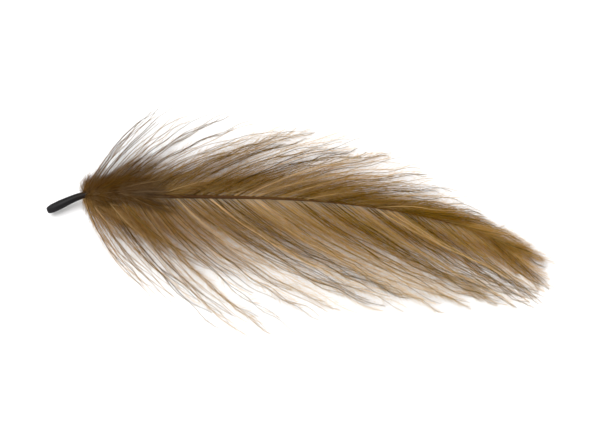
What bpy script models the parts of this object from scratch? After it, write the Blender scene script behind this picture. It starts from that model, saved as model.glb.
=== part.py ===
# Cul de canard feather: one soft brown duck plume, lying on a table with its quill end at -X
# and its tip at +X. It grew as one piece, so it is one solid: a shaft, bare at the quill end,
# and on each side of it a vane whose barbs hang together in locks. The shaft arches over the
# table: its quill end stands clear of it, and the tip and about a third of the locks rest on it.
# Sizes are in metres. The tables below are in millimetres and are scaled when they are read.
import math

import bmesh
import bpy
import numpy as np

MM = 0.001

# Overall, the feather is about 48 mm long from the quill's end to the last barb.
# The middle line of the shaft, from the quill's end: along the feather, across it, above the table.
SHAFT_LINE = [
    (0.0, 0.0, 0.95),
    (3.4, 1.45, 1.55),
    (6.6, 1.75, 2.05),
    (10.3, 1.40, 2.40),
    (16.0, 1.30, 2.60),
    (22.0, 1.15, 2.55),
    (27.8, 0.75, 2.25),
    (34.3, -0.20, 1.75),
    (39.5, -1.50, 1.25),
    (44.0, -3.30, 0.85),
]
# What goes over the origin: the middle of the outline seen from above, from the quill's end.
PLUME_MIDDLE = (24.13, -0.715)
BARE_QUILL = 3.7 * MM  # length along the shaft before the first barb

# The shaft's radius: (share of its length, millimetres). The quill's cut end is a little flattened.
SHAFT_RADII = [(0.0, 0.36), (0.03, 0.45), (0.09, 0.33), (0.25, 0.28), (0.60, 0.20), (1.0, 0.11)]
SHAFT_SIDES = 8
SHAFT_RINGS = 26

# Each vane: (share along the vaned shaft, angle to the shaft where a barb leaves it, its angle
# at the barb's end, the barb's length in millimetres). The far vane is the narrow, dense one.
NEAR_VANE = [
    (0.00, 92, 52, 11.0),
    (0.04, 74, 38, 15.5),
    (0.12, 56, 26, 17.5),
    (0.25, 42, 19, 20.0),
    (0.45, 35, 17, 21.0),
    (0.65, 30, 16, 17.6),
    (0.85, 24.5, 14.5, 12.0),
    (1.00, 15, 10, 5.0),
]
FAR_VANE = [
    (0.00, 54, 30, 10.5),
    (0.05, 50, 27, 12.5),
    (0.12, 42, 16, 14.0),
    (0.25, 31, 9, 14.5),
    (0.45, 22, 4, 13.0),
    (0.65, 13, -2, 10.5),
    (0.85, 8, -4, 6.3),
    (1.00, 4, -2, 3.0),
]
NEAR, FAR = -1, 1  # the side of the shaft that a vane is on
BEND_EARLY = 0.8  # under 1, a barb turns towards the tip early in its length

# Locks of barbs
LOCKS_A_SIDE = 32
CROWD_TO_QUILL = 1.45  # over 1, the locks stand closer together near the quill than near the tip
LOCK_STEPS = 7
FEWEST_STEPS = 4
STEP_LENGTH = 2.2 * MM
LOCK_THICKNESS = 0.50 * MM
LOCK_WIDTHS = [(0.0, 0.45), (0.25, 0.95), (0.6, 1.30), (0.85, 0.95), (1.0, 0.22)]  # millimetres
LOCK_TAPER = [(0.0, 0.7), (0.3, 1.0), (0.7, 0.8), (1.0, 0.35)]  # share of the thickness
LENGTH_SPREAD = (1.0, 0.86, 1.05, 0.93, 0.78)  # neighbouring locks end unevenly
ANGLE_SPREAD = (0.0, 3.0, -2.0, 1.5, -3.0, 2.0, -1.0)  # degrees

# How high a lock's end is above the table, and how far its middle bows up, in millimetres.
# Neighbours take turns, so that the vanes have depth.
LOCK_LAYERS = [(0.0, 0.15), (1.15, 0.55), (2.0, 0.95)]
TOUCHDOWN = 0.72  # the share of its length from which a resting lock lies flat on the table

# A lock's cross-section, as shares of its half width and its thickness: two ridges over a keel
SECTION = [(-1.0, 0.0), (-0.5, 0.55), (0.0, 0.30), (0.5, 0.55), (1.0, 0.0), (0.0, -0.45)]

BARB_COLOUR = (0.22, 0.13, 0.055, 1.0)
BARB_ROUGHNESS = 0.8


def clear_scene():
    for thing in list(bpy.data.objects):
        bpy.data.objects.remove(thing)


def read_table(table, share, column):
    rows = np.array(table, float)
    return float(np.interp(share, rows[:, 0], rows[:, column]))


def smooth_line(points, steps):
    """A Catmull-Rom curve through the points, with this many steps between each two."""
    knots = np.array(points, float)
    knots = np.vstack([2 * knots[0] - knots[1], knots, 2 * knots[-1] - knots[-2]])
    line = []
    for a, b, c, d in zip(knots, knots[1:], knots[2:], knots[3:]):
        for t in np.linspace(0, 1, steps, endpoint=False):
            line.append(
                b
                + 0.5 * (c - a) * t
                + 0.5 * (2 * a - 5 * b + 4 * c - d) * t**2
                + 0.5 * (3 * b - a - 3 * c + d) * t**3
            )
    line.append(knots[-2])
    return np.array(line)


class Shaft:
    """The shaft's middle line, which can be asked for a place by its distance from the quill's end."""

    def __init__(self):
        middle = np.array([*PLUME_MIDDLE, 0.0])
        self.line = (smooth_line(SHAFT_LINE, 10) - middle) * MM
        steps = np.linalg.norm(np.diff(self.line, axis=0), axis=1)
        self.along = np.concatenate([[0.0], np.cumsum(steps)])
        self.length = self.along[-1]

    def place(self, distance):
        return np.array([np.interp(distance, self.along, axis) for axis in self.line.T])

    def direction(self, distance):
        reach = 0.2 * MM
        ahead = self.place(min(distance + reach, self.length)) - self.place(max(distance - reach, 0))
        return ahead / np.linalg.norm(ahead)

    def vaned(self, share):
        """The distance of a share of the vaned length, which starts after the bare quill."""
        return BARE_QUILL + share * (self.length - BARE_QUILL)


def lock_line(shaft, vane, side, share, number):
    """The points along a lock's middle, from inside the shaft to the ends of its barbs."""
    start = shaft.vaned(share)
    root = shaft.place(start)
    ahead = shaft.direction(start)
    heading = math.atan2(ahead[1], ahead[0])
    spread = ANGLE_SPREAD[number % len(ANGLE_SPREAD)]
    first, last = (math.radians(read_table(vane, share, column) + spread) for column in (1, 2))
    length = read_table(vane, share, 3) * MM * LENGTH_SPREAD[number % len(LENGTH_SPREAD)]
    end_height, bow = (value * MM for value in LOCK_LAYERS[number % len(LOCK_LAYERS)])
    end_height = min(end_height, root[2])
    points = [root]
    steps = max(FEWEST_STEPS, min(LOCK_STEPS, round(length / STEP_LENGTH)))
    for step in range(steps):
        middle = (step + 0.5) / steps
        angle = heading + side * (first + (last - first) * middle**BEND_EARLY)
        across = np.array([math.cos(angle), math.sin(angle), 0.0]) * length / steps
        points.append(points[-1] + across)
    for step, point in enumerate(points):
        t = step / steps
        if end_height == 0:
            fall = min(t / TOUCHDOWN, 1.0)
            rise = bow * math.sin(math.pi * fall)
        else:
            fall = t
            rise = bow * math.sin(math.pi * t)
        eased = fall * fall * (3 - 2 * fall)
        point[2] = root[2] + (end_height - root[2]) * eased + rise
    return np.array(points)


def ring_frames(line):
    """For each point of a line: the way along it, the level way across it, and the way up from it."""
    along = np.gradient(line, axis=0)
    along /= np.linalg.norm(along, axis=1)[:, None]
    across = np.cross([0.0, 0.0, 1.0], along)
    across /= np.linalg.norm(across, axis=1)[:, None]
    return along, across, np.cross(along, across)


def add_skin(mesh, rings):
    """Joins rings of points into one closed skin, with a flat cap at each end."""
    rows = [[mesh.verts.new(point) for point in ring] for ring in rings]
    around = len(rows[0])
    for row, following in zip(rows, rows[1:]):
        for i in range(around):
            j = (i + 1) % around
            mesh.faces.new((row[i], row[j], following[j], following[i]))
    mesh.faces.new(list(reversed(rows[0])))
    mesh.faces.new(rows[-1])


def add_lock(mesh, line):
    _, across, up = ring_frames(line)
    rings = []
    for step, point in enumerate(line):
        t = step / (len(line) - 1)
        half_width = 0.5 * read_table(LOCK_WIDTHS, t, 1) * MM
        thickness = LOCK_THICKNESS * read_table(LOCK_TAPER, t, 1)
        ring = [point + across[step] * x * half_width + up[step] * z * thickness for x, z in SECTION]
        for corner in ring:
            corner[2] = max(corner[2], 0.0)
        rings.append(ring)
    add_skin(mesh, rings)


def add_shaft(mesh, shaft):
    distances = np.linspace(0, shaft.length, SHAFT_RINGS)
    line = np.array([shaft.place(distance) for distance in distances])
    _, across, up = ring_frames(line)
    rings = []
    for step, point in enumerate(line):
        radius = read_table(SHAFT_RADII, distances[step] / shaft.length, 1) * MM
        ring = []
        for side in range(SHAFT_SIDES):
            turn = 2 * math.pi * (side + 0.5) / SHAFT_SIDES
            ring.append(point + radius * (across[step] * math.cos(turn) + up[step] * math.sin(turn)))
        rings.append(ring)
    add_skin(mesh, rings)


def new_object(name, mesh, material):
    bmesh.ops.recalc_face_normals(mesh, faces=mesh.faces)
    data = bpy.data.meshes.new(name)
    mesh.to_mesh(data)
    mesh.free()
    data.materials.append(material)
    made = bpy.data.objects.new(name, data)
    bpy.context.scene.collection.objects.link(made)
    return made


def plume_material():
    material = bpy.data.materials.new("plume brown")
    material.use_nodes = True
    shader = material.node_tree.nodes["Principled BSDF"]
    shader.inputs["Base Color"].default_value = BARB_COLOUR
    shader.inputs["Roughness"].default_value = BARB_ROUGHNESS
    shader.inputs["Metallic"].default_value = 0.0
    return material


def build_feather():
    clear_scene()
    shaft = Shaft()
    material = plume_material()
    stem = bmesh.new()
    add_shaft(stem, shaft)
    feather = new_object("feather", stem, material)
    locks = bmesh.new()
    for vane, side in ((NEAR_VANE, NEAR), (FAR_VANE, FAR)):
        for number in range(LOCKS_A_SIDE):
            share = (number / (LOCKS_A_SIDE - 1)) ** CROWD_TO_QUILL
            add_lock(locks, lock_line(shaft, vane, side, share, number))
    lock_guide = new_object("lock_guide", locks, material)
    lock_guide.hide_render = True
    lock_guide.display_type = "WIRE"
    union = feather.modifiers.new("grown together", "BOOLEAN")
    union.operation = "UNION"
    union.object = lock_guide
    union.use_self = True


build_feather()
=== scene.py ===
# A cul de canard feather: one soft brown duck plume that lies on a pale table.
# Its shaft, its barbs and the fine barbules on them are made here, and they take the place of the
# plain solid, on the same lines. The barbs and barbules are made by geometry nodes along those lines.
import math

import bpy
import numpy as np
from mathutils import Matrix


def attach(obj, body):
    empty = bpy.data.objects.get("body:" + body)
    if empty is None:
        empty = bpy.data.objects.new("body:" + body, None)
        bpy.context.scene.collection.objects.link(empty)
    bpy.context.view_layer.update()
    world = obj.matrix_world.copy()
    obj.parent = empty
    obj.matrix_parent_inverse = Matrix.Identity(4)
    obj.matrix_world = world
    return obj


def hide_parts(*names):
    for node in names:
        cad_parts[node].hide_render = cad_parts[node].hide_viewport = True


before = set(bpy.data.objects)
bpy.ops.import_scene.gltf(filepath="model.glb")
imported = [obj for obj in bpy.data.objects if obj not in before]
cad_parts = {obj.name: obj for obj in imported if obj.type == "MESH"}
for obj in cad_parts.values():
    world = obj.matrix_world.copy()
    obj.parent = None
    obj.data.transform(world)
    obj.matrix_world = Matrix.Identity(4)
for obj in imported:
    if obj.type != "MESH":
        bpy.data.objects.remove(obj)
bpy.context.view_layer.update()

mm = 0.001
random = np.random.default_rng(11)

# The lines of the feather, in millimetres and degrees, as in the solid
plume = {
    # The shaft from the quill's end: along the feather, across it, above the table
    "shaftLine": [
        (0.0, 0.0, 0.95), (3.4, 1.45, 1.55), (6.6, 1.75, 2.05), (10.3, 1.40, 2.40), (16.0, 1.30, 2.60),
        (22.0, 1.15, 2.55), (27.8, 0.75, 2.25), (34.3, -0.20, 1.75), (39.5, -1.50, 1.25),
        (44.0, -3.30, 0.85),
    ],
    "shaftSteps": 20,  # from each of these points to the next
    "middle": (24.13, -0.715),  # what goes over the origin
    "bareQuill": 3.7,  # before the first barb
    "bendEarly": 0.8,  # under 1, a barb turns towards the tip early in its length
    "touchdown": 0.72,  # the share of its length from which a resting barb lies on the table
    "locks": 32,  # on each side
    "crowdToQuill": 1.45,  # over 1, they stand closer together near the quill
    "layers": [(0.0, 0.15), (1.15, 0.55), (2.0, 0.95)],  # a lock's end height and its bow
    "lengthSpread": (1.0, 0.86, 1.05, 0.93, 0.78),  # neighbouring locks end unevenly
    "angleSpread": (0.0, 3.0, -2.0, 1.5, -3.0, 2.0, -1.0),
}

# Each vane's barbs: share along the vaned shaft, angle at the shaft, angle at the end, length in mm
nearVane = {
    "name": "near_vane",
    "side": -1,
    "table": [
        (0.00, 92, 52, 11.0), (0.04, 74, 38, 15.5), (0.12, 56, 26, 17.5), (0.25, 42, 19, 20.0),
        (0.45, 35, 17, 21.0), (0.65, 30, 16, 17.6), (0.85, 24.5, 14.5, 12.0), (1.00, 15, 10, 5.0),
    ],
    # The share of the barbs that are short and make the dense part, and how far the angles of the short
    # and the long ones are scaled
    "shorts": [(0.0, 0.88), (0.06, 0.70), (0.14, 0.56), (0.25, 0.48), (0.40, 0.38), (0.60, 0.28),
               (1.0, 0.30)],
    "shortLean": [(0.0, 0.60), (0.05, 0.68), (0.12, 0.80), (0.25, 0.90), (0.40, 1.0)],
    "longLean": [(0.0, 1.0), (0.20, 1.0), (0.40, 1.06), (0.70, 1.10), (1.0, 1.25)],
    "fan": 0.8,  # how far some of the short ones spread towards the long ones
    "reach": [(0.0, 1.0)],  # scales the lengths of the long ones
    "colours": [(0.0, "#c49a64"), (0.12, "#d4aa6c"), (0.30, "#dfba83"), (0.45, "#dcb678"),
                (0.60, "#dbb161"), (1.0, "#e8c278")],
    "downPieces": 3,  # the barbules are split into pieces of under 200,000 triangles
}
farVane = {
    "name": "far_vane",
    "side": 1,
    "table": [
        (0.00, 54, 30, 10.5), (0.05, 50, 27, 12.5), (0.12, 42, 16, 14.0), (0.25, 31, 9, 14.5),
        (0.45, 22, 4, 13.0), (0.65, 13, -2, 10.5), (0.85, 8, -4, 6.3), (1.00, 4, -2, 3.0),
    ],
    "shorts": [(0.0, 0.95), (0.06, 0.78), (0.12, 0.58), (0.35, 0.42), (0.60, 0.34), (1.0, 0.25)],
    "shortLean": [(0.0, 0.28), (0.08, 0.33), (0.20, 0.58), (0.35, 0.85), (0.5, 1.0)],
    "longLean": [(0.0, 0.92), (0.06, 1.02), (0.14, 1.14), (0.30, 1.20), (0.60, 1.24)],
    "fan": 0.3,
    "reach": [(0.0, 1.0), (0.08, 1.08), (0.25, 1.10), (0.50, 1.05), (0.80, 1.05), (1.0, 1.6)],
    # Darker than the near vane's colours, most towards the quill: partly the far vane's own colour and partly
    # painted shade on the far vane
    "colours": [(0.0, "#8a623a"), (0.12, "#a67c48"), (0.30, "#cea76b"), (0.45, "#cfa768"),
                (0.60, "#d1a75d"), (1.0, "#deb86e")],
    "downPieces": 3,
}

# The map that every piece brings: X runs along a strand or the shaft. Y goes round the shaft, or from
# strand to strand up it, and in a strand's part of Y the barb comes first and its barbules after it
strandMap = {
    "name": "OFBake",
    "longest": 25.0,  # mm, the length of strand that fills X
    "barb": 0.12,  # the share of its part of Y that a barb goes round
    "downStarts": 0.18,  # where the roots of its barbules are
    "downLength": 0.75,  # the share from their roots to their ends
    "downFrom": 0.20,  # the finish is a barbule's from here
    "downAlong": 0.006,  # how far up X a barbule's end is from its root
}


def linear(hexColour):  # sRGB hex to the linear colour that shaders take
    parts = [int(hexColour[i:i + 2], 16) / 255 for i in (1, 3, 5)]
    return tuple(c / 12.92 if c <= 0.04045 else ((c + 0.055) / 1.055) ** 2.4 for c in parts) + (1.0,)


def addNode(tree, kind, inputs={}, stops=(), **settings):
    # An input is a value, or the socket that it is linked to. Stops are a colour ramp's
    node = tree.nodes.new(kind)
    for name, value in settings.items():
        setattr(node, name, value)
    for key, value in inputs.items():
        if isinstance(value, bpy.types.NodeSocket):
            tree.links.new(value, node.inputs[key])
        else:
            node.inputs[key].default_value = value
    if stops:
        elements = node.color_ramp.elements
        while len(elements) < len(stops):
            elements.new(1.0)
        for element, (place, colour) in zip(elements, stops):
            element.position = place
            element.color = linear(colour)
    return node


def readTable(rows, share):  # every column of a table at once, after the first
    rows = np.array(rows, float)
    return [np.interp(share, rows[:, 0], column) for column in rows.T[1:]]


def linked(name, data):
    made = bpy.data.objects.new(name, data)
    bpy.context.scene.collection.objects.link(made)
    return made


# The shaft's middle line

def smoothLine(points, steps):  # Catmull-Rom
    knots = np.array(points, float)
    knots = np.vstack([2 * knots[0] - knots[1], knots, 2 * knots[-1] - knots[-2]])
    t = np.linspace(0, 1, steps, endpoint=False)[:, None]
    runs = [
        b + 0.5 * (c - a) * t + 0.5 * (2 * a - 5 * b + 4 * c - d) * t**2
        + 0.5 * (3 * b - a - 3 * c + d) * t**3
        for a, b, c, d in zip(knots, knots[1:], knots[2:], knots[3:])
    ]
    return np.vstack(runs + [knots[-2:-1]])


shaftLine = (smoothLine(plume["shaftLine"], plume["shaftSteps"]) - (*plume["middle"], 0)) * mm
shaftAlong = np.concatenate([[0], np.cumsum(np.linalg.norm(np.diff(shaftLine, axis=0), axis=1))])
shaftLength = shaftAlong[-1]


def shaftPlace(distance):
    return np.stack([np.interp(distance, shaftAlong, axis) for axis in shaftLine.T], -1)


def shaftHeading(distance):
    nearby = 0.2 * mm
    ahead = shaftPlace(min(distance + nearby, shaftLength)) - shaftPlace(max(distance - nearby, 0))
    return math.atan2(ahead[1], ahead[0])


def vanedDistance(share):  # how far up the shaft a share of its vaned length is
    return plume["bareQuill"] * mm + share * (shaftLength - plume["bareQuill"] * mm)


# Barbs: each follows the rule of its vane, and gathers a little towards the lock that it belongs to

barbs = {
    "aSide": 150,
    "wisps": 72,  # more on each side, long, pale and nearly bare
    "lastWisp": 0.75,  # the share of the vaned shaft where the last wisp starts
    "wispCrowd": 1.6,
    "crowdToQuill": 1.4,
    "points": 24,
    "sides": 3,
    "bundle": (1, 4),  # barbs that cling together
    "bundleDraw": [(0, 0), (0.35, 1), (0.65, 1), (1, 0.35)],  # and where along them they do
    "bundleTurn": 0.4,  # degrees
    "lockTurn": 0.10,  # how much of its lock's turn and length a barb follows
    # For each kind of barb: its length as a share of the full one, its own turn in degrees, how far it is
    # drawn to the middle of its bundle, the waves at its end in mm, and how full it is of barbules from
    # the quill to the tip
    "kinds": {
        "short": {"lengths": (0.48, 0.80), "turn": 2.0, "gather": 0.10, "wave": 0.16,
                  "fullness": [(0.0, 1.0), (0.20, 0.95), (0.40, 0.80), (0.60, 0.74), (1.0, 0.95)]},
        "long": {"lengths": (0.92, 1.07), "turn": 1.7, "gather": 0.10, "wave": 0.30,
                 "fullness": [(0.0, 0.35), (0.08, 0.50), (0.20, 0.82), (0.55, 0.74), (0.75, 0.80),
                              (1.0, 1.05)]},
        "wisp": {"lengths": (0.75, 1.03), "turn": 1.5, "gather": 0.0, "wave": 0.22,
                 "fullness": [(0.0, 0.35), (0.08, 0.55), (0.20, 0.90), (0.45, 1.0)]},
    },
    "brush": [(0.80, 1.0), (1.0, 1.8)],  # towards the tip, their turns grow and fill its blunt end
    "fanSkew": 2,  # over 1, few of the short ones fan out far
    "heightJitter": 0.5,  # mm
    "bowJitter": 0.08,  # mm
    "raised": 0.35,  # the share of the resting barbs whose ends stand clear of the table
    "waveLength": (2.8, 8.0),  # mm
    "waveHeight": (0.4, 1.0),
    "waveGrowth": 1.3,  # over 1, the waves grow late in its length
    "waveUp": 0.6,  # the waves up and down, as a share of those across
    "rootRadius": 0.050,  # mm
    "tipRadius": 0.016,
    "taper": 0.8,
    "clear": 0.02,  # mm above the table
}

# By the quill, soft barbs lie forward over the shaft and hide it, and short ones flare into a tuft
cover = {
    "flared": 48,
    "lastFlared": 0.035,
    "flaredLengths": (1.0, 2.3),  # mm
    "flaredFar": 0.82,  # the tuft reaches less far on the far side, and is paler on the near side; its far side is darker partly by painted shade
    "flaredNear": 1.4,
    "flare": (55, 122),  # degrees to the shaft
    "numbers": 24,  # they share the tones of so many barbs
    "nearNumbers": 30,  # and on the near side those of barbs that are so many further on
    "count": 60,
    "last": 0.13,  # the share of the vaned shaft where the last one starts
    "crowdToQuill": 1.6,
    "lengths": [(0.0, 2.8), (0.04, 4.0), (0.20, 6.5)],  # mm, from where each starts
    "lengthSpread": (0.7, 1.3),
    "spread": [(0.0, 45), (0.03, 30), (0.20, 13)],  # degrees to the shaft
    "spreadTurn": (-1.2, 1.2),
    "straighten": 0.6,  # the share of its turn that each loses by its end
    "rise": (0.30, 0.75),  # mm above the shaft's middle
    "risen": 0.25,  # the share of its length by which it has risen
    "endRise": (0.2, 1.0),
}


def barbPath(vane, share, lean, turn, lengthShare, endHeight, bow):
    start = vanedDistance(share)
    root = shaftPlace(start)
    first, last, length = readTable(vane["table"], share)
    t = np.linspace(0, 1, barbs["points"])
    middle = (t[1:] + t[:-1]) / 2
    angle = np.radians(lean * (first + (last - first) * middle ** plume["bendEarly"]) + turn)
    angle = shaftHeading(start) + vane["side"] * angle
    step = length * mm * lengthShare / (barbs["points"] - 1)
    points = np.tile(root, (barbs["points"], 1))
    points[1:, 0] += np.cumsum(np.cos(angle)) * step
    points[1:, 1] += np.cumsum(np.sin(angle)) * step
    endHeight = min(endHeight * mm, root[2])
    fall = np.minimum(t / plume["touchdown"], 1) if endHeight <= 0 else t
    eased = (endHeight - root[2]) * fall * fall * (3 - 2 * fall)
    points[:, 2] += eased + bow * mm * np.sin(np.pi * fall)
    return points


def barbShare(order):
    return (order / (barbs["aSide"] - 1)) ** barbs["crowdToQuill"]


def lockHabit(share):
    # The locks take turns with their turns and lengths, and the barbs between them blend
    place = share ** (1 / plume["crowdToQuill"]) * (plume["locks"] - 1)
    locks = np.arange(plume["locks"] + 1)
    turn, full = (np.interp(place, locks, np.array(plume[key])[locks % len(plume[key])])
                  for key in ("angleSpread", "lengthSpread"))
    return turn * barbs["lockTurn"], 1 + (full - 1) * barbs["lockTurn"]


def makeBarb(vane, order, bundle, bundleTurn, kind):
    share = barbShare(order)
    own = barbs["kinds"][kind]
    lean = readTable(vane["shortLean" if kind == "short" else "longLean"], share)[0]
    if kind == "short":
        lean += vane["fan"] * max(0, 1 - lean) * random.random() ** barbs["fanSkew"]
    turn, full = lockHabit(share)
    turn += bundleTurn + random.normal(0, own["turn"] * readTable(barbs["brush"], share)[0])
    lengthShare = full * random.uniform(*own["lengths"])
    if kind == "long":
        lengthShare *= readTable(vane["reach"], share)[0]
    endHeight, bow = plume["layers"][int(bundle) % len(plume["layers"])]
    if endHeight > 0 or random.random() < barbs["raised"]:
        endHeight = abs(endHeight + random.normal(0, barbs["heightJitter"]))
    ownBow = bow + random.normal(0, barbs["bowJitter"])
    points = barbPath(vane, share, lean, turn, lengthShare, endHeight, ownBow)
    # Barbs of one bundle draw together in the middle of their length
    turn, full = lockHabit(barbShare(bundle))
    middle = barbPath(vane, barbShare(bundle), lean, turn + bundleTurn, full, endHeight, bow)
    t = np.linspace(0, 1, barbs["points"])
    reached = np.stack([np.interp(t * lengthShare / full, t, axis) for axis in middle.T[:2]], 1)
    drawn = readTable(barbs["bundleDraw"], t)[0] * own["gather"]
    points[:, :2] += (reached - points[:, :2]) * drawn[:, None]
    # Waves across and up, which grow towards the end
    ahead = np.gradient(points, axis=0)
    across = np.stack([-ahead[:, 1], ahead[:, 0], 0 * t], 1)
    across /= np.linalg.norm(across, axis=1)[:, None]
    along = np.concatenate([[0], np.cumsum(np.linalg.norm(np.diff(points, axis=0), axis=1))])
    for way in (across, np.array([0, 0, barbs["waveUp"]])):
        phase = random.uniform(0, 2 * math.pi)
        turns = along / (random.uniform(*barbs["waveLength"]) * mm)
        height = own["wave"] * mm * random.uniform(*barbs["waveHeight"])
        wave = np.sin(2 * math.pi * turns + phase) - math.sin(phase) * (1 - t)
        points += (height * t ** barbs["waveGrowth"] * wave)[:, None] * way
    points[:, 2] = np.maximum(points[:, 2], (barbs["tipRadius"] + barbs["clear"]) * mm)
    fullness = readTable(own["fullness"], share)[0]
    return {"points": points, "kind": kind, "number": order, "fullness": fullness}


def makeCover(order):
    flared = order < cover["flared"]
    number = order % cover["numbers"]
    if flared:
        share = cover["lastFlared"] * random.random()
        side = random.choice([-1, 1])
        length = random.uniform(*cover["flaredLengths"]) * mm
        length *= cover["flaredFar" if side > 0 else "flaredNear"]
        turn = math.radians(random.uniform(*cover["flare"])) * side
        number += 0 if side > 0 else cover["nearNumbers"]
    else:
        share = cover["last"] * random.random() ** cover["crowdToQuill"]
        length = readTable(cover["lengths"], share)[0] * random.uniform(*cover["lengthSpread"]) * mm
        turn = math.radians(readTable(cover["spread"], share)[0]) * random.uniform(*cover["spreadTurn"])
    start = vanedDistance(share)
    t = np.linspace(0, 1, barbs["points"])
    angle = shaftHeading(start) + turn * (1 - cover["straighten"] * t)
    points = np.tile(shaftPlace(start), (barbs["points"], 1))
    points[1:, 0] += np.cumsum(np.cos(angle[1:])) * length / (barbs["points"] - 1)
    points[1:, 1] += np.cumsum(np.sin(angle[1:])) * length / (barbs["points"] - 1)
    # It follows the shaft's arch and lies on it
    under = np.interp(points[:, 0], shaftLine[:, 0], shaftLine[:, 2])
    rise = random.uniform(*cover["rise"]) * mm * (random.uniform(-1, 1) if flared else 1)
    heights = [0, rise, rise * random.uniform(*cover["endRise"])]
    points[:, 2] = under + np.interp(t, [0, cover["risen"], 1], heights)
    return {"points": points, "kind": "cover", "number": number, "fullness": 1.0}


def linesMesh(name, strands):
    # Bare edges along the barbs, with what the node trees read at each point
    count = barbs["points"]
    lines = np.array([strand["points"] for strand in strands])
    kinds = [strand["kind"] for strand in strands]
    starts = np.arange(len(lines))[:, None] * count
    edges = np.stack([starts + np.arange(count - 1), starts + np.arange(1, count)], -1).reshape(-1, 2)
    mesh = bpy.data.meshes.new(name)
    mesh.from_pydata(lines.reshape(-1, 3).tolist(), edges.tolist(), [])
    t = np.tile(np.linspace(0, 1, count), len(lines))
    steps = np.linalg.norm(np.diff(lines, axis=1, prepend=0.0), axis=2)
    steps[:, 0] = 0
    along = np.cumsum(steps, axis=1) / mm
    radius = barbs["tipRadius"] + (barbs["rootRadius"] - barbs["tipRadius"]) * (1 - t) ** barbs["taper"]
    lengths = [readTable(down["lengths"][kind], row / row[-1])[0] for row, kind in zip(along, kinds)]
    shares = [readTable(down["shares"][kind], row)[0] for row, kind in zip(along, kinds)]
    values = {
        "alongBarb": along.ravel() / strandMap["longest"],
        "barbBand": np.repeat([strand["number"] / barbs["aSide"] for strand in strands], count),
        "barbRadius": radius * mm,
        "downLength": np.concatenate(lengths) * mm,
        "downShare": np.concatenate(shares) * np.repeat([strand["fullness"] for strand in strands], count),
    }
    for key, value in values.items():
        mesh.attributes.new(key, "FLOAT", "POINT").data.foreach_set("value", value.astype(np.float32))
    return linked(name, mesh)


# Down: the barbules, two rows along every barb, which make the feather soft

down = {
    "spacing": 0.043,  # mm between barbules in a row
    # Their length in mm along each kind of barb, and the share of them that is there, by mm from its root
    "lengths": {
        "short": [(0.0, 0.20), (0.05, 0.60), (0.12, 1.05), (0.20, 1.15), (0.70, 1.00), (1.0, 0.50)],
        "long": [(0.0, 0.20), (0.03, 0.60), (0.08, 1.05), (0.15, 1.15), (0.60, 1.10), (0.85, 0.90),
                 (1.0, 0.45)],
        "wisp": [(0.0, 0.15), (0.15, 0.90), (0.60, 0.75), (1.0, 0.35)],
        "cover": [(0.0, 0.70), (0.30, 1.05), (0.70, 0.90), (1.0, 0.45)],
    },
    "shares": {
        "short": [(0, 1.0), (3, 0.72), (7, 0.30), (12, 0.20)],
        "long": [(0, 0.90), (4, 0.60), (8, 0.27), (12, 0.25), (16, 0.52), (22, 0.85)],
        "cover": [(0, 1.0), (6, 0.7)],
        "wisp": [(0, 0.8), (3, 0.5), (6, 0.30), (14, 0.34), (22, 0.50)],
    },
    "lengthSpread": 0.35,
    "sides": 3,
    "radius": 0.0070,  # where a barbule is thickest, as a share of its length
    "thickest": 0.3,
    "leaving": 42.0,  # degrees to the barb
    "leavingSpread": 22.0,
    "rollDown": 60.0,  # degrees out of the vane: most lie below their barb, which shows over them
    "rollUp": 22.0,
    "bend": 0.28,  # towards the barb's tip, as a share of the length
    "curl": 0.42,  # mm
    "curlScale": 1.8,  # curls a millimetre
}


def newTree(name, inputs, attributes):
    # A tree with its named inputs, and a socket for each attribute of the lines that it reads
    tree = bpy.data.node_groups.new(name, "GeometryNodeTree")
    tree.interface.new_socket("Geometry", in_out="INPUT", socket_type="NodeSocketGeometry")
    for label, kind in inputs:
        tree.interface.new_socket(label, in_out="INPUT", socket_type=kind)
    tree.interface.new_socket("Geometry", in_out="OUTPUT", socket_type="NodeSocketGeometry")
    given = tree.nodes.new("NodeGroupInput").outputs
    read = {
        attribute: addNode(tree, "GeometryNodeInputNamedAttribute", {"Name": attribute},
                           data_type="FLOAT").outputs["Attribute"]
        for attribute in attributes
    }
    return tree, given, read


def finishTree(tree, geometry, mapX, mapY, material):
    # Every tree ends alike: its map, smooth shading, real meshes and its material
    place = addNode(tree, "ShaderNodeCombineXYZ", {"X": mapX, "Y": mapY}).outputs[0]
    mapped = addNode(
        tree, "GeometryNodeStoreNamedAttribute",
        {"Geometry": geometry, "Name": strandMap["name"], "Value": place},
        data_type="FLOAT2", domain="CORNER",
    )
    smooth = addNode(tree, "GeometryNodeSetShadeSmooth", {"Geometry": mapped.outputs[0]})
    real = addNode(tree, "GeometryNodeRealizeInstances", {"Geometry": smooth.outputs[0]})
    painted = addNode(tree, "GeometryNodeSetMaterial", {"Geometry": real.outputs[0], "Material": material})
    addNode(tree, "NodeGroupOutput", {0: painted.outputs[0]})


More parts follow.
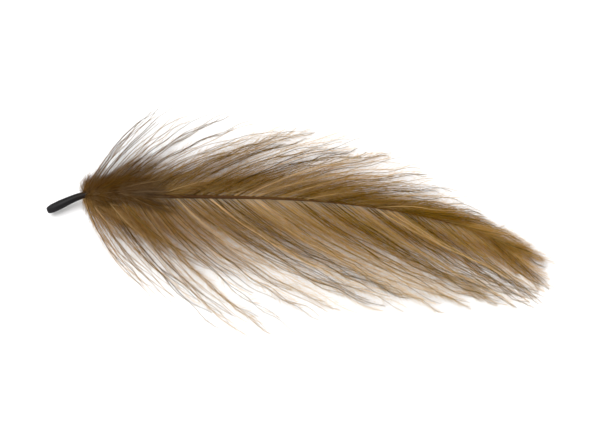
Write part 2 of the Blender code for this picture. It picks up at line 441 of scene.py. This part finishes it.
def barbTree():
    # A thin tapered tube along each line
    tree, given, read = newTree(
        "barbs along lines", [("Sides", "NodeSocketInt"), ("Material", "NodeSocketMaterial")],
        ("alongBarb", "barbBand", "barbRadius", "around"),
    )
    curve = addNode(tree, "GeometryNodeMeshToCurve", {"Mesh": given["Geometry"]}).outputs[0]
    ring = addNode(tree, "GeometryNodeCurvePrimitiveCircle", {"Resolution": given["Sides"], "Radius": 1.0})
    factor = addNode(tree, "GeometryNodeSplineParameter").outputs["Factor"]
    ring = addNode(
        tree, "GeometryNodeStoreNamedAttribute",
        {"Geometry": ring.outputs[0], "Name": "around", "Value": factor}, data_type="FLOAT", domain="POINT",
    )
    tube = addNode(
        tree, "GeometryNodeCurveToMesh",
        {"Curve": curve, "Profile Curve": ring.outputs[0], "Scale": read["barbRadius"], "Fill Caps": True},
    )
    band = addNode(
        tree, "ShaderNodeMath",
        {0: read["around"], 1: strandMap["barb"] / barbs["aSide"], 2: read["barbBand"]},
        operation="MULTIPLY_ADD",
    )
    finishTree(tree, tube.outputs[0], read["alongBarb"], band.outputs[0], given["Material"])
    return tree


def barbuleRow(tree, given, read, curve, spike, side, seed):
    # One row of barbules: each leaves its barb sideways and turns to the barb's tip
    tangent = addNode(tree, "GeometryNodeInputTangent").outputs[0]
    across = addNode(
        tree, "ShaderNodeVectorMath", {0: (0.0, 0.0, float(side)), 1: tangent}, operation="CROSS_PRODUCT",
    ).outputs[0]
    facing = addNode(
        tree, "FunctionNodeAxesToRotation", {"Primary Axis": tangent, "Secondary Axis": across},
        primary_axis="Z", secondary_axis="X",
    ).outputs[0]
    # Drawn for each barbule: its roll, its angle to the barb, its length, and whether it is there
    lowestRoll = addNode(
        tree, "ShaderNodeMath", {0: given["Roll down"], 1: -1.0}, operation="MULTIPLY",
    ).outputs[0]
    limits = [(lowestRoll, given["Roll up"]), (-1.0, 1.0), (-1.0, 1.0), (0.0, 1.0)]
    roll, angle, size, chance = [
        addNode(tree, "FunctionNodeRandomValue", {2: low, 3: high, "Seed": seed + number},
                data_type="FLOAT").outputs[1]
        for number, (low, high) in enumerate(limits)
    ]
    roll = addNode(tree, "ShaderNodeMath", {0: roll, 1: float(side)}, operation="MULTIPLY").outputs[0]
    leaving = addNode(
        tree, "ShaderNodeMath", {0: angle, 1: given["Leaving spread"], 2: given["Leaving"]},
        operation="MULTIPLY_ADD",
    ).outputs[0]
    for turn in ({"Z": roll}, {"Y": leaving}):
        turn = addNode(tree, "ShaderNodeCombineXYZ", turn).outputs[0]
        turn = addNode(tree, "FunctionNodeEulerToRotation", {"Euler": turn}).outputs[0]
        facing = addNode(
            tree, "FunctionNodeRotateRotation", {"Rotation": facing, "Rotate By": turn},
            rotation_space="LOCAL",
        ).outputs[0]
    share = addNode(
        tree, "ShaderNodeMath", {0: size, 1: given["Length spread"], 2: 1.0}, operation="MULTIPLY_ADD",
    ).outputs[0]
    length = addNode(tree, "ShaderNodeMath", {0: share, 1: read["downLength"]}, operation="MULTIPLY")
    there = addNode(tree, "ShaderNodeMath", {0: chance, 1: read["downShare"]}, operation="LESS_THAN")
    placed = addNode(
        tree, "GeometryNodeInstanceOnPoints",
        {"Points": curve, "Selection": there.outputs[0], "Instance": spike, "Rotation": facing,
         "Scale": length.outputs[0]},
    )
    return placed.outputs[0]


def downTree():
    sizes = ("Spacing", "Radius", "Thickest", "Leaving", "Leaving spread", "Roll down", "Roll up",
             "Length spread", "Bend", "Curl", "Curl scale", "Lowest")
    tree, given, read = newTree(
        "barbules along lines",
        [(size, "NodeSocketFloat") for size in sizes] + [("Material", "NodeSocketMaterial")],
        ("alongBarb", "barbBand", "downLength", "downShare", "alongBarbule"),
    )
    curve = addNode(tree, "GeometryNodeMeshToCurve", {"Mesh": given["Geometry"]}).outputs[0]
    curve = addNode(
        tree, "GeometryNodeResampleCurve", {"Curve": curve, "Length": given["Spacing"]}, mode="LENGTH",
    ).outputs[0]
    position = addNode(tree, "GeometryNodeInputPosition").outputs[0]
    place = addNode(tree, "ShaderNodeSeparateXYZ", {0: position}).outputs

    # The shape that is repeated: a spindle one long, pointed at both ends. It starts as a cone, and all
    # of its corners that are off its axis are raised
    spike = addNode(
        tree, "GeometryNodeMeshCone",
        {"Vertices": down["sides"], "Side Segments": 1, "Radius Top": 0.0, "Radius Bottom": given["Radius"],
         "Depth": 1.0},
        fill_type="TRIANGLE_FAN",
    ).outputs["Mesh"]
    x, y = [addNode(tree, "ShaderNodeMath", {0: place[axis]}, operation="ABSOLUTE").outputs[0]
            for axis in ("X", "Y")]
    offAxis = addNode(tree, "ShaderNodeMath", {0: x, 1: y}, operation="ADD").outputs[0]
    half = addNode(tree, "ShaderNodeMath", {0: given["Radius"], 1: 0.5}, operation="MULTIPLY").outputs[0]
    offAxis = addNode(tree, "ShaderNodeMath", {0: offAxis, 1: half}, operation="GREATER_THAN").outputs[0]
    raised = addNode(tree, "ShaderNodeMath", {0: offAxis, 1: given["Thickest"]}, operation="MULTIPLY")
    raised = addNode(tree, "ShaderNodeCombineXYZ", {"Z": raised.outputs[0]}).outputs[0]
    spike = addNode(tree, "GeometryNodeSetPosition", {"Geometry": spike, "Offset": raised}).outputs[0]
    spike = addNode(
        tree, "GeometryNodeStoreNamedAttribute",
        {"Geometry": spike, "Name": "alongBarbule", "Value": place["Z"]}, data_type="FLOAT", domain="POINT",
    ).outputs[0]
    # It bends over to the barb's tip
    square = addNode(tree, "ShaderNodeMath", {0: place["Z"], 1: place["Z"]}, operation="MULTIPLY").outputs[0]
    bend = addNode(tree, "ShaderNodeMath", {0: given["Bend"], 1: -1.0}, operation="MULTIPLY").outputs[0]
    lean = addNode(tree, "ShaderNodeMath", {0: square, 1: bend}, operation="MULTIPLY").outputs[0]
    lean = addNode(tree, "ShaderNodeCombineXYZ", {"X": lean}).outputs[0]
    spike = addNode(tree, "GeometryNodeSetPosition", {"Geometry": spike, "Offset": lean}).outputs[0]

    rows = addNode(tree, "GeometryNodeJoinGeometry")
    for side, seed in ((1, 10), (-1, 20)):
        tree.links.new(barbuleRow(tree, given, read, curve, spike, side, seed), rows.inputs[0])
    real = addNode(tree, "GeometryNodeRealizeInstances", {"Geometry": rows.outputs[0]}).outputs[0]
    # Each barbule curls its own way
    noise = addNode(tree, "ShaderNodeTexNoise", {"Scale": given["Curl scale"], "Detail": 1.0})
    offset = addNode(
        tree, "ShaderNodeVectorMath", {0: noise.outputs["Color"], 1: (0.5, 0.5, 0.5)}, operation="SUBTRACT",
    ).outputs[0]
    reach = addNode(
        tree, "ShaderNodeMath", {0: read["alongBarbule"], 1: given["Curl"]}, operation="MULTIPLY",
    ).outputs[0]
    offset = addNode(tree, "ShaderNodeVectorMath", {0: offset, "Scale": reach}, operation="SCALE").outputs[0]
    curled = addNode(tree, "GeometryNodeSetPosition", {"Geometry": real, "Offset": offset}).outputs[0]
    # None reaches below the table
    lifted = addNode(
        tree, "ShaderNodeMath", {0: place["Z"], 1: given["Lowest"]}, operation="MAXIMUM",
    ).outputs[0]
    lifted = addNode(tree, "ShaderNodeCombineXYZ", {"X": place["X"], "Y": place["Y"], "Z": lifted}).outputs[0]
    resting = addNode(tree, "GeometryNodeSetPosition", {"Geometry": curled, "Position": lifted}).outputs[0]

    band = addNode(
        tree, "ShaderNodeMath",
        {0: read["alongBarbule"], 1: strandMap["downLength"], 2: strandMap["downStarts"]},
        operation="MULTIPLY_ADD",
    ).outputs[0]
    band = addNode(
        tree, "ShaderNodeMath", {0: band, 1: 1 / barbs["aSide"], 2: read["barbBand"]},
        operation="MULTIPLY_ADD",
    ).outputs[0]
    along = addNode(
        tree, "ShaderNodeMath",
        {0: read["alongBarbule"], 1: strandMap["downAlong"], 2: read["alongBarb"]},
        operation="MULTIPLY_ADD",
    ).outputs[0]
    finishTree(tree, resting, along, band, given["Material"])
    return tree


def grow(name, lines, tree, values):
    # Runs a tree on the lines and keeps its result as a plain mesh
    modifier = lines.modifiers.new("grow", "NODES")
    modifier.node_group = tree
    for item in tree.interface.items_tree:
        if item.in_out == "INPUT" and item.name in values:
            modifier[item.identifier] = values[item.name]
    lines.update_tag()
    graph = bpy.context.evaluated_depsgraph_get()
    mesh = bpy.data.meshes.new_from_object(lines.evaluated_get(graph), preserve_all_data_layers=True,
                                           depsgraph=graph)
    mesh.name = name
    lines.modifiers.remove(modifier)
    for attribute in ("alongBarb", "barbBand", "barbRadius", "downLength", "downShare", "around",
                      "alongBarbule"):
        if attribute in mesh.attributes:
            mesh.attributes.remove(mesh.attributes[attribute])
    return linked(name, mesh)


# Finishes

keratinIor = 1.55
noiseSpan = (0.3, 0.7)  # nearly all that a noise gives lies in it

strandFinish = {
    "paleEnd": "#ecd09a",
    "paleFrom": 4.0,  # mm along a barb
    "paleTo": 15.0,
    "paleMost": 0.85,
    "barbTones": (0.25, 1.15),  # the barbs themselves are darker than their barbules, and pale less
    "barbPale": 0.4,
    "toneSpread": 0.22,
    "bundleSpread": 0.07,
    "bundleScale": 0.22,  # tones a barb
    "richness": (1.30, 0.76),  # of the colour, from the darkest barb to the palest
    "hue": (0.5, 0.512),  # over 0.5 is yellower
    "roughness": 0.6,
    "gloss": 0.12,
    "throughLight": 0.6,
}


def newFinish(name):
    # Every finish reads the strand map
    material = bpy.data.materials.new(name)
    material.use_nodes = True
    tree = material.node_tree
    tree.nodes.clear()
    return material, tree, addNode(tree, "ShaderNodeUVMap", uv_map=strandMap["name"]).outputs[0]


def strandMaterial(name, colours):
    # Keratin fibres, grown: a barb's root holds the most pigment, its end and its barbules pass light
    material, tree, place = newFinish(name)
    place = addNode(tree, "ShaderNodeSeparateXYZ", {0: place})
    along, band = place.outputs["X"], place.outputs["Y"]
    number = addNode(
        tree, "ShaderNodeMath", {0: band, 1: float(barbs["aSide"])}, operation="MULTIPLY",
    ).outputs[0]
    which, within = [addNode(tree, "ShaderNodeMath", {0: number}, operation=operation).outputs[0]
                     for operation in ("FLOOR", "FRACT")]
    barbule = addNode(
        tree, "ShaderNodeMapRange",
        {"Value": within, "From Min": strandMap["barb"], "From Max": strandMap["downFrom"]},
    ).outputs[0]
    ground = addNode(tree, "ShaderNodeValToRGB", {0: band}, stops=colours).outputs[0]
    pale = addNode(
        tree, "ShaderNodeMapRange",
        {"Value": along, "From Min": strandFinish["paleFrom"] / strandMap["longest"],
         "From Max": strandFinish["paleTo"] / strandMap["longest"], "To Min": 0.0,
         "To Max": strandFinish["paleMost"]},
    ).outputs[0]
    keeps = addNode(
        tree, "ShaderNodeMapRange", {"Value": barbule, "To Min": strandFinish["barbPale"]},
    ).outputs[0]
    pale = addNode(tree, "ShaderNodeMath", {0: pale, 1: keeps}, operation="MULTIPLY").outputs[0]
    colour = addNode(
        tree, "ShaderNodeMix", {"Factor": pale, 6: ground, 7: linear(strandFinish["paleEnd"])},
        data_type="RGBA",
    ).outputs[2]

    # Each barb has its own tone, and neighbours are a little alike
    alone = addNode(tree, "ShaderNodeTexWhiteNoise", {"W": which}, noise_dimensions="1D").outputs["Value"]
    alike = addNode(
        tree, "ShaderNodeMath", {0: which, 1: strandFinish["bundleScale"]}, operation="MULTIPLY",
    ).outputs[0]
    alike = addNode(
        tree, "ShaderNodeTexNoise", {"W": alike, "Scale": 1.0, "Detail": 1.0}, noise_dimensions="1D",
    ).outputs["Fac"]
    own, rich, hue = [
        addNode(tree, "ShaderNodeMapRange",
                {"Value": alone, "To Min": strandFinish[key][0], "To Max": strandFinish[key][1]}).outputs[0]
        for key in ("barbTones", "richness", "hue")
    ]
    value = addNode(tree, "ShaderNodeMapRange", {"Value": barbule, "To Min": own}).outputs[0]
    for tone, (low, high), spread in ((alone, (0.0, 1.0), "toneSpread"), (alike, noiseSpan, "bundleSpread")):
        tone = addNode(
            tree, "ShaderNodeMapRange",
            {"Value": tone, "From Min": low, "From Max": high, "To Min": 1 - strandFinish[spread],
             "To Max": 1 + strandFinish[spread]},
        ).outputs[0]
        value = addNode(tree, "ShaderNodeMath", {0: value, 1: tone}, operation="MULTIPLY").outputs[0]
    colour = addNode(
        tree, "ShaderNodeHueSaturation", {"Hue": hue, "Value": value, "Saturation": rich, "Color": colour},
    ).outputs[0]
    body = addNode(
        tree, "ShaderNodeBsdfPrincipled",
        {"Base Color": colour, "Roughness": strandFinish["roughness"], "IOR": keratinIor,
         "Specular IOR Level": strandFinish["gloss"]},
    )
    through = addNode(tree, "ShaderNodeBsdfTranslucent", {"Color": colour})
    both = addNode(
        tree, "ShaderNodeMixShader",
        {0: strandFinish["throughLight"], 1: body.outputs[0], 2: through.outputs[0]},
    )
    addNode(tree, "ShaderNodeOutputMaterial", {"Surface": both.outputs[0]})
    return material


shaftFinish = {
    "alongShaft": [(0.0, "#201f21"), (0.06, "#131213"), (0.11, "#201206"), (0.25, "#382109"),
                   (0.6, "#4a2f10"), (1.0, "#715029")],
    "streaks": (30.0, 9.0, 1.0),  # along the shaft and round it
    "streakDetail": 4.0,
    "streakTones": (0.75, 1.3),
    "streakDepth": 0.02,  # mm
    "streakStrength": 0.25,
    "roughness": [(0.05, 0.42), (0.15, 0.7)],  # on the bare quill, and up the shaft
    "gloss": 0.10,
}


def shaftMaterial():
    # Solid keratin, grown: smooth and nearly black on the bare quill, brown and duller up the shaft
    material, tree, place = newFinish("keratin_shaft")
    along = addNode(tree, "ShaderNodeSeparateXYZ", {0: place}).outputs["X"]
    ground = addNode(tree, "ShaderNodeValToRGB", {0: along}, stops=shaftFinish["alongShaft"]).outputs[0]
    stretched = addNode(
        tree, "ShaderNodeVectorMath", {0: place, 1: shaftFinish["streaks"]}, operation="MULTIPLY",
    ).outputs[0]
    streaks = addNode(
        tree, "ShaderNodeTexNoise",
        {"Vector": stretched, "Scale": 1.0, "Detail": shaftFinish["streakDetail"]},
    ).outputs["Fac"]
    darkest, palest = shaftFinish["streakTones"]
    value = addNode(
        tree, "ShaderNodeMapRange",
        {"Value": streaks, "From Min": noiseSpan[0], "From Max": noiseSpan[1], "To Min": darkest,
         "To Max": palest},
    ).outputs[0]
    colour = addNode(tree, "ShaderNodeHueSaturation", {"Value": value, "Color": ground}).outputs[0]
    (quillEnds, quillRough), (shaftStarts, shaftRough) = shaftFinish["roughness"]
    rough = addNode(
        tree, "ShaderNodeMapRange",
        {"Value": along, "From Min": quillEnds, "From Max": shaftStarts, "To Min": quillRough,
         "To Max": shaftRough},
    ).outputs[0]
    bump = addNode(
        tree, "ShaderNodeBump",
        {"Height": streaks, "Strength": shaftFinish["streakStrength"],
         "Distance": shaftFinish["streakDepth"] * mm},
    ).outputs[0]
    body = addNode(
        tree, "ShaderNodeBsdfPrincipled",
        {"Base Color": colour, "Roughness": rough, "IOR": keratinIor, "Normal": bump,
         "Specular IOR Level": shaftFinish["gloss"]},
    )
    addNode(tree, "ShaderNodeOutputMaterial", {"Surface": body.outputs[0]})
    return material


# The shaft: bare quill, then the tapering shaft with a shallow groove between its two edges

shaftShape = {
    # By the share of its length
    "radii": [(0.0, 0.28), (0.004, 0.37), (0.012, 0.43), (0.03, 0.44), (0.055, 0.38), (0.08, 0.33),
              (0.20, 0.22), (0.50, 0.14), (1.0, 0.05)],
    "flatness": [(0.0, 0.78), (0.05, 0.92), (0.12, 1.0)],  # height over width
    "groove": [(0.07, 0.0), (0.16, 0.16), (1.0, 0.16)],  # depth over radius
    "grooveWidth": 0.42,
    "sides": 24,
    "rings": 220,
    "crowdToQuill": 1.15,
    # The cut end dips in, like the dried tip of a real quill: share of its radius, depth in mm
    "cutEnd": [(0.02, 0.16), (0.35, 0.15), (0.62, 0.10), (0.82, 0.02), (0.93, -0.02)],
    "lastRing": 0.05,  # the tip closes to this share of its radius
}


def makeShaft():
    share = np.linspace(0, 1, shaftShape["rings"]) ** shaftShape["crowdToQuill"]
    line = shaftPlace(share * shaftLength)
    ahead = np.gradient(line, axis=0)
    ahead /= np.linalg.norm(ahead, axis=1)[:, None]
    across = np.cross([0, 0, 1.0], ahead)
    across /= np.linalg.norm(across, axis=1)[:, None]
    up = np.cross(ahead, across)
    radius, flat, groove = (readTable(shaftShape[key], share)[0] for key in ("radii", "flatness", "groove"))
    count = shaftShape["sides"]
    turn = 2 * math.pi * np.arange(count) / count
    dip = 1 - groove[:, None] * np.exp(-(((turn - math.pi / 2) / shaftShape["grooveWidth"]) ** 2))
    size = radius[:, None] * mm * dip
    rings = (
        line[:, None]
        + across[:, None] * (size * np.cos(turn))[:, :, None]
        + up[:, None] * (size * np.sin(turn) * flat[:, None])[:, :, None]
    )
    cutEnd = [line[0] + ahead[0] * depth * mm + (rings[0] - line[0]) * shrink
              for shrink, depth in shaftShape["cutEnd"]]
    tip = line[-1] + (rings[-1] - line[-1]) * shaftShape["lastRing"]
    rings = np.vstack([np.array(cutEnd), rings, tip[None]])
    along = np.concatenate([np.zeros(len(cutEnd)), share, [1.0]])
    faces = []
    corners = []
    for row in range(len(rings) - 1):
        for i in range(count):
            j = (i + 1) % count
            faces.append((row * count + i, row * count + j, (row + 1) * count + j, (row + 1) * count + i))
            here, there = along[row], along[row + 1]
            left, right = i / count, (i + 1) / count
            corners += [(here, left), (here, right), (there, right), (there, left)]
    for row, way in ((0, -1), (len(rings) - 1, 1)):
        faces.append([row * count + i for i in range(count)][::way])
        corners += [(along[row], 0.5)] * count
    mesh = bpy.data.meshes.new("quill_and_shaft")
    mesh.from_pydata(rings.reshape(-1, 3).tolist(), [], faces)
    layer = mesh.uv_layers.new(name=strandMap["name"])
    layer.data.foreach_set("uv", np.array(corners, np.float32).ravel())
    mesh.materials.append(shaftMaterial())
    mesh.shade_smooth()
    return linked("quill_and_shaft", mesh)


# Table, lights and camera

studio = {
    "tableSize": 4.0,  # m
    "tableColour": "#f6f6f6",
    "tableRoughness": 0.9,
    "tableGloss": 0.1,
    "worldColour": "#ffffff",
    "worldStrength": 0.63,
    "lampPower": 3.7,  # W
    "lampSize": 0.35,  # m
    "lampPlace": (-0.16, 0.20, 0.50),
    "cameraHeight": 0.45,  # m
    "frameWidth": 0.0575,  # m across the picture at the feather
}


def makeTable():
    half = studio["tableSize"] / 2
    mesh = bpy.data.meshes.new("table_top")
    corners = [(-half, -half, 0), (half, -half, 0), (half, half, 0), (-half, half, 0)]
    mesh.from_pydata(corners, [], [(0, 1, 2, 3)])
    material = bpy.data.materials.new("matt_white_card")
    material.use_nodes = True
    shader = material.node_tree.nodes["Principled BSDF"]
    shader.inputs["Base Color"].default_value = linear(studio["tableColour"])
    shader.inputs["Roughness"].default_value = studio["tableRoughness"]
    shader.inputs["Specular IOR Level"].default_value = studio["tableGloss"]
    mesh.materials.append(material)
    table = linked("table_top", mesh)


def makeLights():
    scene = bpy.context.scene
    world = bpy.data.worlds.new("soft white room")
    world.use_nodes = True
    sky = world.node_tree.nodes["Background"]
    sky.inputs["Color"].default_value = linear(studio["worldColour"])
    sky.inputs["Strength"].default_value = studio["worldStrength"]
    scene.world = world
    lamp = bpy.data.lights.new("soft box", "AREA")
    lamp.shape = "SQUARE"
    lamp.size = studio["lampSize"]
    lamp.energy = studio["lampPower"]
    box = linked("soft box", lamp)
    box.location = studio["lampPlace"]
    towardsFeather = -box.location.normalized()
    box.rotation_euler = towardsFeather.to_track_quat("-Z", "Y").to_euler()
    scene.view_settings.view_transform = "Standard"


def makeCamera():
    camera = bpy.data.cameras.new("camera")
    camera.sensor_width = 36.0
    camera.lens = camera.sensor_width * studio["cameraHeight"] / studio["frameWidth"]
    camera.clip_start = 0.01
    holder = linked("camera", camera)
    holder.location = (0, 0, studio["cameraHeight"])
    bpy.context.scene.camera = holder


makeTable()
makeLights()
makeCamera()
print("table, lights and camera")

pieces = [makeShaft()]
print("shaft")

barbNodes, downNodes = barbTree(), downTree()
downValues = {
    "Spacing": down["spacing"] * mm, "Radius": down["radius"], "Thickest": down["thickest"],
    "Leaving": math.radians(down["leaving"]), "Leaving spread": math.radians(down["leavingSpread"]),
    "Roll down": math.radians(down["rollDown"]), "Roll up": math.radians(down["rollUp"]),
    "Length spread": down["lengthSpread"], "Bend": down["bend"], "Curl": down["curl"] * mm,
    "Curl scale": down["curlScale"] / mm, "Lowest": barbs["clear"] * mm,
}
for vane in (nearVane, farVane):
    finish = strandMaterial(f"keratin_{vane['name']}", vane["colours"])
    sizes = random.integers(*barbs["bundle"], barbs["aSide"])
    turns = random.normal(0, barbs["bundleTurn"], barbs["aSide"])
    ends = np.cumsum(sizes)
    strands = []
    owed = 0.5  # short and long barbs take turns evenly
    for order in range(barbs["aSide"]):
        own = np.searchsorted(ends, order, side="right")
        middle = min(ends[own] - (sizes[own] + 1) / 2, barbs["aSide"] - 1)
        owed += readTable(vane["shorts"], barbShare(order))[0]
        owed, kind = (owed - 1, "short") if owed >= 1 else (owed, "long")
        strands.append(makeBarb(vane, order, middle, turns[own], kind))
    spots = (np.arange(barbs["wisps"]) + random.random(barbs["wisps"])) / barbs["wisps"]
    for share in barbs["lastWisp"] * spots ** barbs["wispCrowd"]:
        order = int(share ** (1 / barbs["crowdToQuill"]) * barbs["aSide"])
        strands.append(makeBarb(vane, order, order, 0.0, "wisp"))
    if vane is farVane:  # the darker of the two, partly by painted shade; the tuft takes its colours
        strands += [makeCover(order) for order in range(cover["flared"] + cover["count"])]
    guide = linesMesh(f"{vane['name']}_lines", strands)
    barbValues = {"Sides": barbs["sides"], "Material": finish}
    pieces.append(grow(f"{vane['name']}_barbs", guide, barbNodes, barbValues))
    bpy.data.objects.remove(guide)
    for part in range(vane["downPieces"]):
        guide = linesMesh(f"{vane['name']}_lines", strands[part::vane["downPieces"]])
        name = f"{vane['name']}_down_{part + 1}"
        pieces.append(grow(name, guide, downNodes, {**downValues, "Material": finish}))
        bpy.data.objects.remove(guide)
    print(vane["name"])

for piece in pieces:
    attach(piece, "root")
    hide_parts("feather")
    piece.data.calc_loop_triangles()
    print(piece.name, len(piece.data.loop_triangles), "triangles")
